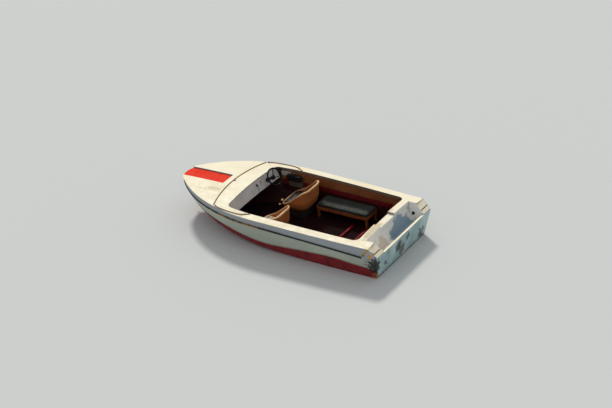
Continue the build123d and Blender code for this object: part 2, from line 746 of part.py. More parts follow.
def cockpit_floor():
    """Carpeted floor board on the hull's sides."""
    board = LINED & layer(FLOOR_TOP - FLOOR_THICK, FLOOR_TOP)
    return board & between(COCKPIT_AFT + FIT, FORE_BULKHEAD - FIT)


def aft_bulkhead():
    """Board under the coaming that closes the cockpit aft."""
    return LINED & between(COCKPIT_AFT - PANEL, COCKPIT_AFT) & deck_block(LIP_HEIGHT + FIT)


def fore_bulkhead():
    """Board at the forward end of the footwell."""
    under = deck_block(DECK_WALL + STRIPE_DROP + 2 * FIT)
    return LINED & between(FORE_BULKHEAD, FORE_BULKHEAD + PANEL) & under


def floor_rail(aft, fore):
    """Red rail across the floor."""
    rail = box((aft, fore), RAIL_REACH, (FLOOR_TOP + FIT, FLOOR_TOP + RAIL_HEIGHT))
    return rail & LINED


def coaming_catch():
    """Black catch on the coaming's forward face."""
    thick, y, z = CATCH
    return box((COCKPIT_AFT + FIT, COCKPIT_AFT + thick), y, z)


# Seats and bench

def rounded(x, y, back, front, z):
    """Closed plan outline with its own corner radius aft and forward."""
    (x0, x1), (y0, y1) = x, y
    k = 1 - math.sqrt(0.5)
    corners = [
        ((x0 + back, y0), (x0 + back * k, y0 + back * k), (x0, y0 + back)),
        ((x0, y1 - back), (x0 + back * k, y1 - back * k), (x0 + back, y1)),
        ((x1 - front, y1), (x1 - front * k, y1 - front * k), (x1, y1 - front)),
        ((x1, y0 + front), (x1 - front * k, y0 + front * k), (x1 - front, y0)),
    ]
    edges = []
    for at, corner in enumerate(corners):
        points = [(px, py, z) for px, py in corner]
        edges.append(ThreePointArc(*points))
        onward = corners[(at + 1) % 4][0]
        edges.append(Line(points[2], (onward[0], onward[1], z)))
    return Wire(edges)


def seat_taper(z):
    """How much narrower the tub is at a height."""
    for (low, wide), (high, narrow) in zip(SEAT_TAPER, SEAT_TAPER[1:]):
        if z <= high:
            return wide + (narrow - wide) * (z - low) / (high - low)
    return 0


def seat_form(side, inset, low, high):
    """The tub's tapered form between two heights."""
    middle = side * SEAT_MIDDLE
    wires = []
    for z in [low] + [z for z, _ in SEAT_TAPER if low < z < high] + [high]:
        taper = seat_taper(z)
        reach = SEAT_WIDTH / 2 - inset - taper
        aft, fore = SEAT_BACK + inset + taper, SEAT_BACK + SEAT_DEPTH - inset - taper
        back, front = (r - CORNER_EASE[0] * inset - CORNER_EASE[1] * taper for r in SEAT_CORNERS)
        wires.append(rounded((aft, fore), (middle - reach, middle + reach), back, front, z))
    return Solid.make_loft(wires, ruled=True)


def seat_profile(raise_by):
    """Everything under the tub's top edge, raised by a distance."""
    edge = [(SEAT_BACK + x, z + raise_by) for x, z in SEAT_EDGE]
    return side_cut(edge + [(edge[-1][0], DEEP), (edge[0][0], DEEP)])


def seat_shell(side):
    """Moulded tub seat."""
    over = SEAT_TOP + SEAT_PAD
    tub = seat_form(side, 0, SEAT_BOTTOM, over)
    tub -= seat_form(side, SEAT_WALL, SEAT_BOTTOM + SEAT_WALL, over)
    return tub & seat_profile(0)


def seat_bead(side):
    """Rolled edge along the top of the tub."""
    tall, past = SEAT_BEAD
    over = SEAT_TOP + SEAT_PAD
    ring = seat_form(side, -past, SEAT_BOTTOM, over) - seat_form(side, SEAT_WALL + past, SEAT_BOTTOM, over)
    return ring & (seat_profile(tall) - seat_profile(FIT))


def seat_cushion(side):
    """Loose cushion in the bottom of the tub."""
    low = SEAT_BOTTOM + SEAT_WALL + FIT
    return seat_form(side, SEAT_WALL + SEAT_GAP, low, low + SEAT_PAD)


def seat_back_pad(side):
    """Pad against the inside of the tub's back."""
    low = SEAT_BOTTOM + SEAT_WALL + 2 * FIT + SEAT_PAD
    form = seat_form(side, SEAT_WALL + SEAT_GAP, low, SEAT_TOP) & seat_profile(-SEAT_GAP)
    return form & between(0, SEAT_BACK + 2 * SEAT_WALL + SEAT_GAP + SEAT_BACK_PAD)


def seat_plinth(side):
    """Hollow box that stands the tub on the floor."""
    middle = side * SEAT_MIDDLE
    reach = SEAT_WIDTH / 2 - PLINTH_INSET
    blocks = []
    for wall, low in ((0, FLOOR_TOP + FIT), (PANEL, FLOOR_TOP)):
        aft, fore = SEAT_BACK + PLINTH_INSET + wall, SEAT_BACK + SEAT_DEPTH - PLINTH_INSET - wall
        y = (middle - reach + wall, middle + reach - wall)
        corner = PLINTH_CORNER - wall
        blocks.append(plan_cut(rounded((aft, fore), y, corner, corner, 0), low, SEAT_BOTTOM - FIT - wall))
    return blocks[0] - blocks[1]


def bench_limits(inset):
    """Plan limits of the bench along the starboard side."""
    x = (BENCH_AFT + inset, BENCH_AFT + BENCH_LENGTH - inset)
    y = (-BENCH_INNER - BENCH_WIDTH + inset, -BENCH_INNER - inset)
    return x, y


def bench_frame():
    """Wooden frame with an apron, a top and four legs."""
    top = BENCH_TOP - BENCH_PAD - FIT
    inset = 2 * PANEL
    x, y = bench_limits(0)
    inner = bench_limits(inset)
    frame = plan_cut(rounded(x, y, BENCH_CORNER, BENCH_CORNER, 0), top - BENCH_APRON, top)
    inner_corner = BENCH_CORNER - inset
    frame -= plan_cut(rounded(*inner, inner_corner, inner_corner, 0), top - BENCH_APRON, top - PANEL)
    leg = (FLOOR_TOP + FIT, top - PANEL / 2)
    for px in (inner[0][0], inner[0][1] - BENCH_LEG):
        for py in (inner[1][0], inner[1][1] - BENCH_LEG):
            frame += box((px, px + BENCH_LEG), (py, py + BENCH_LEG), leg)
    return frame


def bench_cushion():
    """Padded top of the bench."""
    x, y = bench_limits(BENCH_MARGIN)
    return plan_cut(rounded(x, y, BENCH_CORNER, BENCH_CORNER, 0), BENCH_TOP - BENCH_PAD, BENCH_TOP)


def stern_backrest():
    """Pad against the aft bulkhead."""
    thick, tall, reach, top = BACKREST
    aft = COCKPIT_AFT + FIT
    return plan_cut(rounded((aft, aft + thick), (-reach, reach), *BACKREST_CORNERS, 0), top - tall, top)


def build():
    """Make every piece."""
    keep("hull_shell", hull_shell())
    keep("deck_moulding", deck_moulding())
    keep("stripe_panel", stripe_panel())
    keep("splash_well", splash_well())
    keep("transom_board", transom_board())
    keep("transom_cap", transom_cap())
    keep("keel_strip", keel_strip())
    keep("strakes", strakes())
    keep("windscreen_trim", screen_trim())
    keep("windscreen_sockets", screen_sockets())
    keep("deck_seams", deck_seams())
    keep("bow_eye", bow_eye())
    keep("drain_plug", drain_plug())
    keep("transom_pad_outer", transom_pad(True))
    keep("transom_pad_inner", transom_pad(False))
    keep("well_gland", well_gland())
    keep("dash_panel", dash_panel())
    for name, y, z, radius, proud in DASH_FITTINGS:
        keep(name, on_dash(y, z, radius, proud, 0))
    keep("steering_column", steering_column())
    keep("steering_wheel", steering_wheel())
    keep("control_bracket", control_bracket())
    keep("control_box", control_box())
    keep("control_lever", control_lever())
    keep("cockpit_floor", cockpit_floor())
    keep("aft_bulkhead", aft_bulkhead())
    keep("fore_bulkhead", fore_bulkhead())
    for at, (aft, fore) in zip(("aft", "fore"), RAILS):
        keep(f"floor_rail_{at}", floor_rail(aft, fore))
    for name, side in SIDES:
        keep(f"quarter_cap_{name}", quarter_cap(side))
        keep(f"rub_strip_{name}", rub_strip(side))
        keep(f"end_trim_{name}", end_trim(side))
        keep(f"stern_eye_{name}", stern_eye(side))
        keep(f"lining_upper_{name}", lining(side, LINING_SPLIT, LINING_TOP))
        keep(f"lining_lower_{name}", lining(side, FLOOR_TOP + FIT, LINING_SPLIT - FIT))
    for name, side in (("passenger", 1), ("helm", -1)):
        keep(f"{name}_seat_shell", seat_shell(side))
        keep(f"{name}_seat_bead", seat_bead(side))
        keep(f"{name}_seat_cushion", seat_cushion(side))
        keep(f"{name}_seat_back_pad", seat_back_pad(side))
        keep(f"{name}_seat_plinth", seat_plinth(side))
    keep("coaming_catch", coaming_catch())
    keep("bench_frame", bench_frame())
    keep("bench_cushion", bench_cushion())
    keep("stern_backrest", stern_backrest())


build()
print_places()

for node, solid in PARTS.items():
    solids = solid.solids()
    shape = Compound(children=list(solids)) if len(solids) > 1 else solids[0]
    export_step(shape.moved(Location((-MIDSHIP, 0, 0))), f"parts/{node}.step")
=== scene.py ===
"""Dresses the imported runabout: finishes, cushions, small trim, camera and light."""
import json
import math

import bmesh
import bpy
import numpy as np
from mathutils import Matrix, Vector, noise
from mathutils.bvhtree import BVHTree


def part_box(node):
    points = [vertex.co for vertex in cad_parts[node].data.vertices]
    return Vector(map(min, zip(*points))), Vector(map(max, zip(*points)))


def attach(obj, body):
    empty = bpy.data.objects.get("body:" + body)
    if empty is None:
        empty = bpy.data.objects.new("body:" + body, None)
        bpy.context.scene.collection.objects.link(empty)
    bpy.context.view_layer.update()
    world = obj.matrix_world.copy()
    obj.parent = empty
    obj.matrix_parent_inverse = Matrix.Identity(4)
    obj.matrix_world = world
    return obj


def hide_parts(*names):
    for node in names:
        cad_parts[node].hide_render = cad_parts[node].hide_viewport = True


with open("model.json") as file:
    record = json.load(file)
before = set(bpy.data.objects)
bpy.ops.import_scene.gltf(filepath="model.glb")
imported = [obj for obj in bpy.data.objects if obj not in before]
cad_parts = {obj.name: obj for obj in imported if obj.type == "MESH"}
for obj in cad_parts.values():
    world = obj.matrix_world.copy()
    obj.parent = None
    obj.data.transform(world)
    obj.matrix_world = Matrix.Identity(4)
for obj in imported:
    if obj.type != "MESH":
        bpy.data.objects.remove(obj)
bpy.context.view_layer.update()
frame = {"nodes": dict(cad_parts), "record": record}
nodes = frame["nodes"]
BOAT = "boat"

# Camera, from the boat's own lines in the photograph. Angles are in degrees.
IMAGE_WIDTH = 612
SENSOR = 36.0
FOCAL_PIXELS = 1847
CAMERA_AZIMUTH = 215.45
CAMERA_ELEVATION = 29.71
CAMERA_ROLL = -5.76
CAMERA_DISTANCE = 30.92
CAMERA_TARGET = Vector((-0.251, -0.081, 0.5))

# Light
SKY_COLOUR = (250, 251, 255)
SKY_LEVEL = 0.55
KEY_COLOUR = (1.0, 0.97, 0.92)
KEY_STRENGTH = 2.05
KEY_ANGLE = 9
KEY_FROM = Vector((0.55, -0.62, 0.78))
FLOOR_COLOUR = (205, 208, 206)
FLOOR_REACH = 120

# Where the finishes change, in metres in the frame
EDGE = 0.005                       # half the width of the change from one finish to the next
SEAM = 0.003                       # the same where two covers meet
TRANSOM_SLOPE = math.tan(math.radians(12.4))
TRANSOM_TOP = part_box("transom_cap")[1].z
TRANSOM_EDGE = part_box("transom_cap")[0].x
TRANSOM_SKIN = (0.004, 0.006)      # ahead of the transom's face, where its colour ends
QUARTER = (-1.85, 0.01, 0.40)      # how far forward the painted blue shade goes, its blur, and its lower edge
COCKPIT = (-1.775, 0.76, 0.85)     # aft and forward ends and half width of the opening
LIP_BLUR = 0.01
UPRIGHT = (0.30, 0.55)             # how far up a face looks where the sides' painted shade is full and where it ends
INSIDE = (-0.02, -0.06)            # place across times how far a face looks across, at the hull's inside
STRIPE_EDGE = (-0.148, -0.140)     # across the stripe's starboard edge, where its painted shadow lies
LINING_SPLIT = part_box("lining_lower_port")[1].z
BAND_TOP = LINING_SPLIT + 0.085
GREY_END = (0.50, 0.50)            # the side linings are grey forward of and over these
RUN_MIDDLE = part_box("dash_switch")[0].y + 0.01
RUN_HALF = (0.022, 0.008)
RUN_TOP = (0.62, 0.60)
DRIP_HEIGHTS = (0.05, 0.42)
SLIME_HEIGHTS = (-0.02, 0.045)
FOUL_HEIGHTS = (0.05, 0.10)
FOUL_WOBBLE = 0.08
GOLD_AFT = (-0.2, 0.1)             # where the rub strips' gold patches fade in and out
GOLD_FORE = (1.35, 1.0)
# Heights where the painted shade low on the seat tubs starts and where it is full
SHELL_FOOT = (0.32, 0.22)
# Top of the bottom paint: share of the length from the stern, and height
PAINT_LINE = [(0.0, 0.17), (0.1, 0.20), (0.2, 0.24), (0.32, 0.22), (0.51, 0.17), (0.7, 0.27), (1.0, 0.45)]
LINE_WOBBLE = 0.012
EDGE_SHADOW_BAND = ((0.004, 0.010), (0.014, 0.022))   # over the paint, where the painted shadow line starts and ends

# Colours, from 0 to 255 in sRGB
DECK_CREAM, DECK_GRIME, DECK_DARK = (246, 238, 210), (230, 214, 174), (128, 108, 80)
# Painted shade: blue-grey on the deck's upright sides, brown on the cockpit's lip
DECK_SIDE_SHADE, LIP_SHADE = (122, 138, 156), (112, 88, 66)
WELL_CREAM, WELL_GRIME, WELL_DARK = (236, 235, 226), (205, 205, 200), (92, 88, 80)
# The hull's gelcoat painted grey-green as it looks in shade: painted shade
HULL_SHADED_GREEN, HULL_GRIME, HULL_DARK = (180, 188, 172), (156, 162, 148), (84, 84, 72)
# Painted shade: blue on the hull's aft quarters
QUARTER_SHADE_BLUE, HULL_INSIDE, HULL_SCUFFS = (150, 172, 196), (40, 10, 13), (92, 70, 50)
# Painted shade: the transom's blue-green, in two tones; its drips are stains
TRANSOM_SHADE_TEAL, TRANSOM_SHADE_DARK, TEAL_DRIPS = (176, 203, 202), (140, 170, 172), (78, 92, 92)
BOTTOM_RED, BOTTOM_DARK, BOTTOM_CHALK = (134, 24, 30), (84, 14, 20), (176, 92, 84)
# Painted shadow: a dark line along the top of the bottom paint
EDGE_SHADOW_BROWN, SLIME, FOULING = (52, 30, 30), (44, 40, 26), (70, 66, 44)
# Tea-coloured stains, also used as painted shade on the coaming and in the well
TEA_STAIN_AND_SHADE, RUST_STAIN, GOLD_STAIN = (178, 152, 110), (112, 68, 32), (214, 150, 34)
# Painted shade: blue in the splash well. A darker patch round the hole in the well's side
WELL_SHADE_BLUE, WELL_HOLE_DARK = (112, 142, 162), (70, 66, 60)
RUBBER, RUBBER_WORN, RUBBER_GOLD = (22, 22, 24), (58, 56, 52), (150, 104, 42)
STRIPE, STRIPE_FADED, STRIPE_DARK = (230, 50, 22), (232, 68, 40), (130, 30, 24)
# Painted shadow along the stripe's starboard edge
STRIPE_SHADOW = (36, 30, 30)
CARPET, CARPET_DEEP, CARPET_TRODDEN = (40, 8, 10), (22, 5, 6), (22, 6, 8)
# Paler patches on the carpet, and painted shade with grime in its corners
CARPET_PALE, CARPET_CORNER = (70, 60, 62), (16, 8, 8)
TAN_COLOURS = (150, 88, 46), (98, 52, 26), (176, 116, 70)
BAND_RED, BAND_DARK, END_GREY = (122, 10, 24), (84, 8, 16), (186, 178, 174)
SHELL_COLOURS = (190, 114, 60), (140, 74, 36), (214, 148, 94)
# Painted shade low on the seat tubs
SHELL_SHADE_LOW = (110, 52, 26)
DASH_COLOURS = (212, 209, 202), (160, 158, 156), (226, 223, 216)
DASH_BLUE = (96, 116, 140)
BLOTCHES = (40, 30, 24)

# Clouds: scale, detail, roughness, stretch and bend of the noise, and the levels it is cut between
CLOUDS = {
    "chalk": ((1.6, 5), 0.35, 0.75),
    "streaks": ((5, 8, 0.65, (1, 1, 0.25), 0.6), 0.52, 0.78),
    "specks": ((95, 3, 0.6), 0.70, 0.78),
    "corner grime and shade": ((14, 6), 0.3, 0.7),
    "gelcoat gloss": ((9, 5), 0.3, 0.7),
    "transom_shade": ((4, 7, 0.6, (1, 1, 0.4)), 0.35, 0.7),
    "drips": ((9, 8, 0.7, (1, 1, 0.12)), 0.53, 0.66),
    "bottom paint": ((7, 8, 0.7, (1, 1, 0.5), 0.8), 0.4, 0.7),
    "bottom chalk": ((26, 8, 0.75, (0.6, 1, 1)), 0.60, 0.72),
    "slime": ((12, 6), 0.3, 0.6),
    "scuffs": ((60, 8, 0.7, (0.3, 1, 1)), 0.62, 0.70),
    "scuffed places": ((2.5, 3), 0.5, 0.62),
    "worn rubber": ((18, 7), 0.45, 0.7),
    "gold patches": ((7, 7, 0.7, (1, 0.4, 1)), 0.44, 0.56),
    "rubber gloss": ((20, 4), 0.3, 0.7),
    "faded vinyl": ((3.5, 6), 0.35, 0.72),
    "rubbed vinyl": ((22, 7, 0.7), 0.56, 0.74),
    "blotches": ((11, 7, 0.65, None, 0.7), 0.50, 0.60),
    "vinyl gloss": ((30, 5), 0.3, 0.7),
    "pile": ((420, 2), 0.35, 0.65),
    "trodden": ((3.2, 6), 0.42, 0.66),
    "pale patches": ((9, 8, 0.7), 0.60, 0.72),
    "dirty wood": ((6, 6), 0.5, 0.72),
    "worn paint": ((28, 7, 0.65), 0.54, 0.70),
    "scratches": ((70, 6, 0.7, (0.15, 1, 1)), 0.60, 0.68),
    "paint gloss": ((40, 5), 0.3, 0.7),
    "tarnish": ((34, 7, 0.65), 0.48, 0.66),
    "metal gloss": ((45, 6), 0.35, 0.7),
    "red band": ((5, 5), 0.35, 0.7),
    "run": ((30, 6), 0.35, 0.55),
}
# How much smoother and how much rougher a cloud makes a surface than its own roughness
GLOSS = {
    "gelcoat gloss": (0.1, 0.14),
    "rubber gloss": (0.0, 0.3),
    "vinyl gloss": (0.1, 0.15),
    "paint gloss": (0.1, 0.15),
    "metal gloss": (0.0, 0.3),
}
# Noise that is used as it is
PAINT_LINE_NOISE = (6, 4)
FOUL_NOISE = (9, 6)
RINGS = (7, 8, 0.6, (1, 14, 14), 1.2)
RING_CUT = (0.40, 0.62)
RING_GLOSS = (0.3, 0.7, 0.08, 0.12)     # where the rings are cut, and how much smoother and rougher
# Relief: the noise as above, its depth in metres, and its strength
RELIEFS = {
    "orange peel": ((38, 3), 0.0008, 0.5),
    "rubber": ((70, 5), 0.0012, 0.7),
    "folds": ((13, 4, 0.5, (1, 1, 0.6)), 0.006, 0.5),
    "tufts": ((520, 2, 0.8), 0.004, 1.0),
    "trodden carpet": ((16, 4), 0.008, 0.5),
    "paint": ((130, 4), 0.0006, 0.5),
    "metal": ((160, 4), 0.0004, 0.5),
}
# Cells: their scale, the depth of the relief and its strength
PITS = (160, 0.0003, 0.3)
GRAIN = (330, 0.0006, 0.6)
RING_RELIEF = (0.0015, 0.5)
CORNER_OPEN = (0.3, 0.9)        # how open a corner is where its darkening is full, and where it ends
CORNER_RAYS = 4
SPOT_FULL = 0.7                 # share of a spot's radius that is full
SPOT_SCALE = 1.2                # scale of the noise at its edge, times its radius
SPOT_DETAIL = 6

# Stains and painted shade: amount, colour, place, radius, stretch, and where they differ how ragged and how
# fine
DECK_STAINS_AND_SHADE = [
    (0.35, TEA_STAIN_AND_SHADE, (1.30, 0.36, 0.66), 0.10, (0.7, 1.6, 1)),
    (0.30, TEA_STAIN_AND_SHADE, (1.50, 0.42, 0.64), 0.07, (0.6, 2, 1)),
    (0.85, RUST_STAIN, (-0.97, 0.81, 0.60), 0.022),
    (0.8, RUST_STAIN, (-0.93, 0.79, 0.60), 0.015),
    # Painted shade on the coaming: its port slope and its starboard end
    (0.55, TEA_STAIN_AND_SHADE, (-1.84, 0.40, 0.55), 0.20, (1, 0.6, 1)),
    (0.4, TEA_STAIN_AND_SHADE, (-1.76, -0.30, 0.60), 0.08, (1, 0.7, 1)),
    (0.9, GOLD_STAIN, (-2.09, 0.88, 0.50), 0.065),
]
WELL_SHADE_AND_DARK_PATCH = [
    # Painted shade: blue over the well's floor and tan on its forward slope; then a darker patch round the
    # hole in its side
    (0.85, WELL_SHADE_BLUE, (-1.96, -0.28, 0.33), 0.26, (1, 0.6, 1)),
    (0.45, TEA_STAIN_AND_SHADE, (-1.90, 0.35, 0.33), 0.16, (1, 0.7, 1)),
    (0.7, WELL_HOLE_DARK, (-1.99, -0.68, 0.45), 0.05),
]
TRANSOM_STAINS = [
    (0.8, (52, 56, 54), (-2.1, 0.16, 0.30), 0.10, (0.5, 1, 0.7), 1.0, 16),
    (0.8, (60, 64, 62), (-2.1, -0.14, 0.33), 0.07, (0.5, 1, 0.7), 1.0, 16),
    (0.8, (90, 76, 60), (-2.1, 0.02, 0.16), 0.10, (0.5, 1, 0.7), 1.0, 16),
    (0.8, (60, 60, 54), (-2.1, -0.62, 0.12), 0.09, (0.5, 1, 0.7), 1.0, 16),
]
QUARTER_STAINS = [
    (0.93, (18, 16, 14), (-2.12, 0.86, 0.24), 0.13, (0.75, 1, 0.55), 1.3, 22),
    (0.75, (172, 96, 44), (-2.12, 0.84, 0.03), 0.10, (0.8, 1, 0.9), 1.0, 18),
    (0.85, GOLD_STAIN, (-2.06, 0.90, 0.46), 0.065, (1, 1, 1), 0.7, 24),
]


def linear(red, green, blue):
    """A colour written as 0 to 255 in sRGB, as the shaders take it."""
    def channel(value):
        value /= 255
        return value / 12.92 if value <= 0.04045 else ((value + 0.055) / 1.055) ** 2.4
    return (channel(red), channel(green), channel(blue), 1.0)


class Finish:
    """One procedural material. Patterns are set in the object's own coordinates, in metres."""

    def __init__(self, name, roughness=0.5, metallic=0.0, specular=0.5):
        self.material = bpy.data.materials.new(name)
        self.material.use_nodes = True
        self.tree = self.material.node_tree
        self.surface = self.tree.nodes["Principled BSDF"]
        for socket, value in (("Roughness", roughness), ("Metallic", metallic),
                              ("Specular IOR Level", specular)):
            self.surface.inputs[socket].default_value = value
        coordinates = self.node("ShaderNodeTexCoord").outputs
        self.place = coordinates["Object"]
        self.x, self.y, self.z = self.node("ShaderNodeSeparateXYZ", {0: self.place}).outputs
        self.facing = self.node("ShaderNodeSeparateXYZ", {0: coordinates["Normal"]}).outputs

    def node(self, kind, inputs=None, **settings):
        """A shader node with its inputs linked or set."""
        made = self.tree.nodes.new(kind)
        for key, value in settings.items():
            setattr(made, key, value)
        for key, value in (inputs or {}).items():
            self.feed(made.inputs[key], value)
        return made

    def feed(self, socket, value):
        """Link a socket to an output, or set its value."""
        if isinstance(value, bpy.types.NodeSocket):
            self.tree.links.new(value, socket)
        else:
            socket.default_value = value

    def math(self, operation, first, second=0.0):
        """One operation on one value or two."""
        return self.node("ShaderNodeMath", {0: first, 1: second}, operation=operation).outputs[0]

    def noise(self, scale, detail, rough=0.55, stretch=None, bend=0.0):
        """Cloudy noise from 0 to 1."""
        place = self.place
        if stretch:
            place = self.node("ShaderNodeMapping", {"Vector": place, "Scale": stretch}).outputs[0]
        made = self.node("ShaderNodeTexNoise", {"Vector": place, "Scale": scale, "Detail": detail,
                                                "Roughness": rough, "Distortion": bend})
        return made.outputs["Fac"]

    def cells(self, scale, feature="F1"):
        """Distance to the nearest cell's middle or edge."""
        made = self.node("ShaderNodeTexVoronoi", {"Vector": self.place, "Scale": scale}, feature=feature)
        return made.outputs["Distance"]

    def between(self, value, low, high, start=0.0, end=1.0):
        """A smooth step of a value between two limits."""
        made = self.node("ShaderNodeMapRange", {"Value": value, "From Min": low, "From Max": high,
                                                "To Min": start, "To Max": end},
                         interpolation_type="SMOOTHSTEP")
        return made.outputs["Result"]

    def under(self, value, low, high):
        """1 under two limits and 0 over them."""
        return self.between(value, low, high, 1.0, 0.0)

    def past(self, value, edge, blur=EDGE):
        """0 before an edge and 1 past it. A blur below 0 turns it round."""
        return self.between(value, edge - blur, edge + blur)

    def cloud(self, pattern, start=0.0, end=1.0):
        """One of the cloud patterns, as a mask or between two other values."""
        settings, low, high = CLOUDS[pattern]
        return self.between(self.noise(*settings), low, high, start, end)

    def gloss(self, pattern, roughness):
        """Roughness that varies by a cloud pattern."""
        less, more = GLOSS[pattern]
        return self.cloud(pattern, roughness - less, roughness + more)

    def both(self, *masks):
        """Masks multiplied together."""
        total = masks[0]
        for mask in masks[1:]:
            total = self.math("MULTIPLY", total, mask)
        return total

    def blend(self, amount, under, over):
        """Two colours mixed by a mask."""
        made = self.node("ShaderNodeMix", data_type="RGBA")
        for socket, value in (("Factor", amount), (6, under), (7, over)):
            self.feed(made.inputs[socket], value)
        return made.outputs[2]

    def layer(self, paint, amount, mask, colour):
        """A colour laid over the paint by an amount and a mask."""
        return self.blend(self.math("MULTIPLY", mask, amount), paint, linear(*colour))

    def spot(self, centre, radius, stretch=(1, 1, 1), ragged=0.9, scale=None):
        """A ragged patch about a place, 1 inside and 0 outside."""
        moved = self.node("ShaderNodeVectorMath", {0: self.place, 1: centre}, operation="SUBTRACT")
        shaped = self.node("ShaderNodeVectorMath", {0: moved.outputs[0], 1: stretch}, operation="MULTIPLY")
        length = self.node("ShaderNodeVectorMath", {0: shaped.outputs[0]}, operation="LENGTH")
        clouds = self.math("SUBTRACT", self.noise(scale or SPOT_SCALE / radius, SPOT_DETAIL), 0.5)
        wobble = self.math("MULTIPLY", clouds, 2 * ragged * radius)
        reach = self.math("ADD", length.outputs["Value"], wobble)
        return self.under(reach, radius * SPOT_FULL, radius)

    def stained(self, paint, stains_and_shade):
        """The paint with a table of stain marks and painted shade laid over it."""
        for amount, colour, *spot in stains_and_shade:
            paint = self.layer(paint, amount, self.spot(*spot), colour)
        return paint

    def bump(self, height, distance, strength, under=None):
        """Relief of a given depth, over the relief under it."""
        inputs = {"Height": height, "Distance": distance, "Strength": strength}
        if under is not None:
            inputs["Normal"] = under
        return self.node("ShaderNodeBump", inputs).outputs[0]

    def relief(self, pattern, under=None):
        """One of the relief patterns."""
        settings, depth, strength = RELIEFS[pattern]
        return self.bump(self.noise(*settings), depth, strength, under)

    def crevice(self, reach):
        """Ambient occlusion as a mask, 1 in a corner and 0 in the open: painted shade with grime in corners,
        and tarnish on metal.
        """
        made = self.node("ShaderNodeAmbientOcclusion", {"Distance": reach}, samples=CORNER_RAYS)
        return self.under(made.outputs["AO"], *CORNER_OPEN)

    def wear(self, colour, roughness=None, normal=None):
        """Connect the results to the shader."""
        for name, value in (("Base Color", colour), ("Roughness", roughness), ("Normal", normal)):
            if value is not None:
                self.feed(self.surface.inputs[name], value)
        return self.material


def gelcoat(f, colour, grime, dark, stains_and_shade=(), dirt_and_shade=0.5, roughness=0.5):
    """Weathered gelcoat: chalky patches, grime and painted shade in the corners, and a few stain marks and
    patches of painted shade.
    """
    paint = f.layer(linear(*colour), 0.5, f.cloud("chalk"), grime)
    paint = f.layer(paint, 0.3, f.cloud("streaks"), grime)
    paint = f.layer(paint, 0.3, f.cloud("specks"), dark)
    # Grime and painted shade in the corners
    paint = f.layer(paint, dirt_and_shade, f.both(f.crevice(0.05), f.cloud("corner grime and shade")), dark)
    paint = f.stained(paint, stains_and_shade)
    scale, depth, strength = PITS
    relief = f.bump(f.cells(scale), depth, strength, f.relief("orange peel"))
    return paint, f.gloss("gelcoat gloss", roughness), relief


def deck_finish(f):
    """Cream deck with stain marks and patches of painted shade, painted blue-grey shade down its sides and
    painted brown shade on the cockpit's lip.
    """
    paint, rough, relief = gelcoat(f, DECK_CREAM, DECK_GRIME, DECK_DARK, DECK_STAINS_AND_SHADE)
    # Painted shade: blue-grey on upright faces, and brown on the cockpit's lip
    upright = f.under(f.facing[2], *UPRIGHT)
    paint = f.layer(paint, 0.8, upright, DECK_SIDE_SHADE)
    aft, fore, half = COCKPIT
    lip = f.both(upright, f.past(f.x, aft), f.past(f.x, fore, -EDGE),
                 f.between(f.math("ABSOLUTE", f.y), half, half - LIP_BLUR))
    return f.wear(f.layer(paint, 0.85, lip, LIP_SHADE), rough, relief)


def well_finish(f):
    """The splash well: cream, greyed in patches, with painted blue and tan shade, a darker patch round its
    side hole, and grime and painted shade in its corners.
    """
    return f.wear(*gelcoat(f, WELL_CREAM, WELL_GRIME, WELL_DARK, WELL_SHADE_AND_DARK_PATCH, 0.8))


def transom_mask(f):
    """1 on the raked transom and 0 ahead of it."""
    back = f.math("ADD", f.x, f.math("MULTIPLY", f.z, TRANSOM_SLOPE))
    face = TRANSOM_EDGE + TRANSOM_TOP * TRANSOM_SLOPE
    return f.under(back, face + TRANSOM_SKIN[0], face + TRANSOM_SKIN[1])


def over_paint_line(f):
    """Height over the top of the bottom paint."""
    line = f.node("ShaderNodeFloatCurve", {"Value": f.node("ShaderNodeMapRange", {
        "Value": f.x, "From Min": TRANSOM_EDGE, "From Max": -TRANSOM_EDGE}).outputs["Result"]})
    curve = line.mapping.curves[0]
    curve.points[0].location = PAINT_LINE[0]
    curve.points[1].location = PAINT_LINE[-1]
    for place in PAINT_LINE[1:-1]:
        curve.points.new(*place)
    line.mapping.update()
    wobble = f.math("MULTIPLY", f.noise(*PAINT_LINE_NOISE), LINE_WOBBLE)
    return f.math("SUBTRACT", f.z, f.math("ADD", line.outputs[0], wobble))


